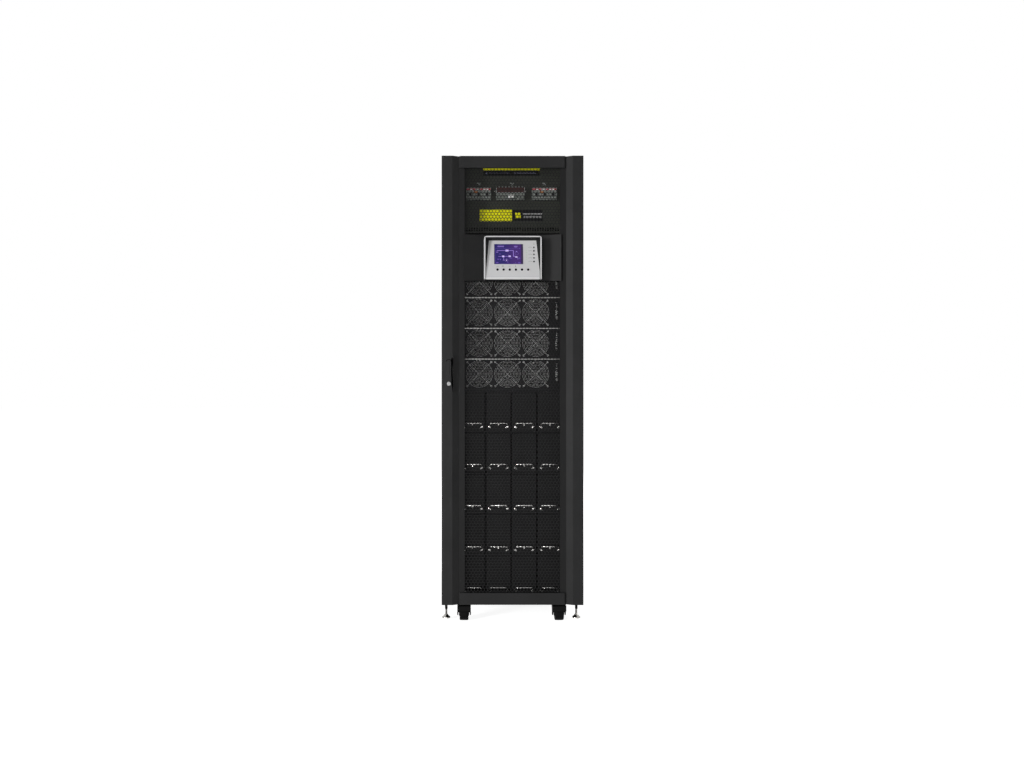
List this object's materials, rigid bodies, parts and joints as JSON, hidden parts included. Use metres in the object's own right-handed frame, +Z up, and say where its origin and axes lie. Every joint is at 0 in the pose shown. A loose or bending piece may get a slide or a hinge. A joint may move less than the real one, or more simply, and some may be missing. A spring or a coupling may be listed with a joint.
{
  "type": "modular ups cabinet",
  "caption": "Tall black rack cabinet with a perforated front door, tilted display, fan-cooled power modules and rows of battery modules, on casters and levelling feet.",
  "frame": {"origin": "on the floor under the middle of the cabinet's outer box", "axes": "+Z up, the door faces -Y, +X to the viewer's right when facing the door"},
  "size_m": [0.6, 1.1, 1.985],
  "materials": {
    "black_powder_coat": "fine textured satin powder coat",
    "dark_case_paint": "satin paint",
    "zinc_plate": "zinc plated",
    "bright_steel": "bright plated wire and strip",
    "black_plastic": "satin moulded",
    "brown_guard_plastic": "tinted moulded cover",
    "silver_plastic": "silver painted moulding",
    "grey_plastic": "fine matt moulding",
    "screen": "lit display behind a clear pane",
    "light_lens": "small translucent lens",
    "caster_tread": "hard nylon"
  },
  "bodies": {
    "cabinet": {"base_frame": "black_powder_coat", "battery_handles": "bright_steel", "battery_modules": "dark_case_paint", "battery_shelves": "dark_case_paint", "breaker_guard": "brown_guard_plastic", "breakers": "black_plastic", "bypass_module": "dark_case_paint", "caster_plates": "black_powder_coat", "corner_posts": "black_powder_coat", "fan_guards": "bright_steel", "hinge_brackets": "black_powder_coat", "levelling_feet": "zinc_plate", "module_lights": "light_lens", "power_module_1": "dark_case_paint", "power_module_2": "dark_case_paint", "power_module_3": "dark_case_paint", "power_module_4": "dark_case_paint", "power_shelves": "zinc_plate", "rack_rails": "black_powder_coat", "rear_mesh": "black_powder_coat", "rear_panel": "black_powder_coat", "roof_panel": "black_powder_coat", "side_panel_left": "black_powder_coat", "side_panel_right": "black_powder_coat", "switch_panel": "dark_case_paint"},
    "front_door": {"door_frame": "black_powder_coat", "door_mesh_upper": "black_powder_coat", "door_mesh_lower": "black_powder_coat", "display_plate": "black_powder_coat", "display_bezel": "silver_plastic", "display_housing": "black_plastic", "control_panel": "grey_plastic", "lcd_screen": "screen", "display_buttons": "black_plastic", "indicator_lights": "light_lens", "handle_plate": "black_plastic", "lock_cylinder": "bright_steel"},
    "door_lever": {"door_handle": "black_plastic"},
    "caster_front_left": {"caster_fork_front_left": "black_powder_coat"},
    "wheel_front_left": {"caster_wheel_front_left": "caster_tread"},
    "caster_front_right": {"caster_fork_front_right": "black_powder_coat"},
    "wheel_front_right": {"caster_wheel_front_right": "caster_tread"},
    "caster_rear_left": {"caster_fork_rear_left": "black_powder_coat"},
    "wheel_rear_left": {"caster_wheel_rear_left": "caster_tread"},
    "caster_rear_right": {"caster_fork_rear_right": "black_powder_coat"},
    "wheel_rear_right": {"caster_wheel_rear_right": "caster_tread"},
    "fan_01": {"fan_rotor_01": "black_plastic"},
    "fan_02": {"fan_rotor_02": "black_plastic"},
    "fan_03": {"fan_rotor_03": "black_plastic"},
    "fan_04": {"fan_rotor_04": "black_plastic"},
    "fan_05": {"fan_rotor_05": "black_plastic"},
    "fan_06": {"fan_rotor_06": "black_plastic"},
    "fan_07": {"fan_rotor_07": "black_plastic"},
    "fan_08": {"fan_rotor_08": "black_plastic"},
    "fan_09": {"fan_rotor_09": "black_plastic"},
    "fan_10": {"fan_rotor_10": "black_plastic"},
    "fan_11": {"fan_rotor_11": "black_plastic"},
    "fan_12": {"fan_rotor_12": "black_plastic"}
  },
  "joints": [
    {"name": "front_door_hinge", "type": "hinge", "parent": "cabinet", "child": "front_door", "pos_m": [0.294, -0.487, 1.035], "axis": [0, 0, 1], "range_deg": [0, 110]},
    {"name": "door_lever_turn", "type": "hinge", "parent": "front_door", "child": "door_lever", "pos_m": [-0.2695, -0.536, 1.112], "axis": [0, -1, 0], "range_deg": [0, 90]},
    {"name": "caster_swivel_front_left", "type": "hinge", "parent": "cabinet", "child": "caster_front_left", "pos_m": [-0.205, -0.432, 0.07], "axis": [0, 0, 1], "continuous": true},
    {"name": "wheel_roll_front_left", "type": "hinge", "parent": "caster_front_left", "child": "wheel_front_left", "pos_m": [-0.205, -0.448, 0.029], "axis": [1, 0, 0], "continuous": true},
    {"name": "caster_swivel_front_right", "type": "hinge", "parent": "cabinet", "child": "caster_front_right", "pos_m": [0.205, -0.432, 0.07], "axis": [0, 0, 1], "continuous": true},
    {"name": "wheel_roll_front_right", "type": "hinge", "parent": "caster_front_right", "child": "wheel_front_right", "pos_m": [0.205, -0.448, 0.029], "axis": [1, 0, 0], "continuous": true},
    {"name": "caster_swivel_rear_left", "type": "hinge", "parent": "cabinet", "child": "caster_rear_left", "pos_m": [-0.205, 0.51, 0.07], "axis": [0, 0, 1], "continuous": true},
    {"name": "wheel_roll_rear_left", "type": "hinge", "parent": "caster_rear_left", "child": "wheel_rear_left", "pos_m": [-0.205, 0.494, 0.029], "axis": [1, 0, 0], "continuous": true},
    {"name": "caster_swivel_rear_right", "type": "hinge", "parent": "cabinet", "child": "caster_rear_right", "pos_m": [0.205, 0.51, 0.07], "axis": [0, 0, 1], "continuous": true},
    {"name": "wheel_roll_rear_right", "type": "hinge", "parent": "caster_rear_right", "child": "wheel_rear_right", "pos_m": [0.205, 0.494, 0.029], "axis": [1, 0, 0], "continuous": true},
    {"name": "fan_spin_01", "type": "hinge", "parent": "cabinet", "child": "fan_01", "pos_m": [-0.139, -0.416, 1.06268], "axis": [0, 1, 0], "continuous": true},
    {"name": "fan_spin_02", "type": "hinge", "parent": "cabinet", "child": "fan_02", "pos_m": [-0.0165, -0.416, 1.06268], "axis": [0, 1, 0], "continuous": true},
    {"name": "fan_spin_03", "type": "hinge", "parent": "cabinet", "child": "fan_03", "pos_m": [0.106, -0.416, 1.06268], "axis": [0, 1, 0], "continuous": true},
    {"name": "fan_spin_04", "type": "hinge", "parent": "cabinet", "child": "fan_04", "pos_m": [-0.139, -0.416, 1.19602], "axis": [0, 1, 0], "continuous": true},
    {"name": "fan_spin_05", "type": "hinge", "parent": "cabinet", "child": "fan_05", "pos_m": [-0.0165, -0.416, 1.19602], "axis": [0, 1, 0], "continuous": true},
    {"name": "fan_spin_06", "type": "hinge", "parent": "cabinet", "child": "fan_06", "pos_m": [0.106, -0.416, 1.19602], "axis": [0, 1, 0], "continuous": true},
    {"name": "fan_spin_07", "type": "hinge", "parent": "cabinet", "child": "fan_07", "pos_m": [-0.139, -0.416, 1.32937], "axis": [0, 1, 0], "continuous": true},
    {"name": "fan_spin_08", "type": "hinge", "parent": "cabinet", "child": "fan_08", "pos_m": [-0.0165, -0.416, 1.32937], "axis": [0, 1, 0], "continuous": true},
    {"name": "fan_spin_09", "type": "hinge", "parent": "cabinet", "child": "fan_09", "pos_m": [0.106, -0.416, 1.32937], "axis": [0, 1, 0], "continuous": true},
    {"name": "fan_spin_10", "type": "hinge", "parent": "cabinet", "child": "fan_10", "pos_m": [-0.139, -0.416, 1.46273], "axis": [0, 1, 0], "continuous": true},
    {"name": "fan_spin_11", "type": "hinge", "parent": "cabinet", "child": "fan_11", "pos_m": [-0.0165, -0.416, 1.46273], "axis": [0, 1, 0], "continuous": true},
    {"name": "fan_spin_12", "type": "hinge", "parent": "cabinet", "child": "fan_12", "pos_m": [0.106, -0.416, 1.46273], "axis": [0, 1, 0], "continuous": true}
  ]
}
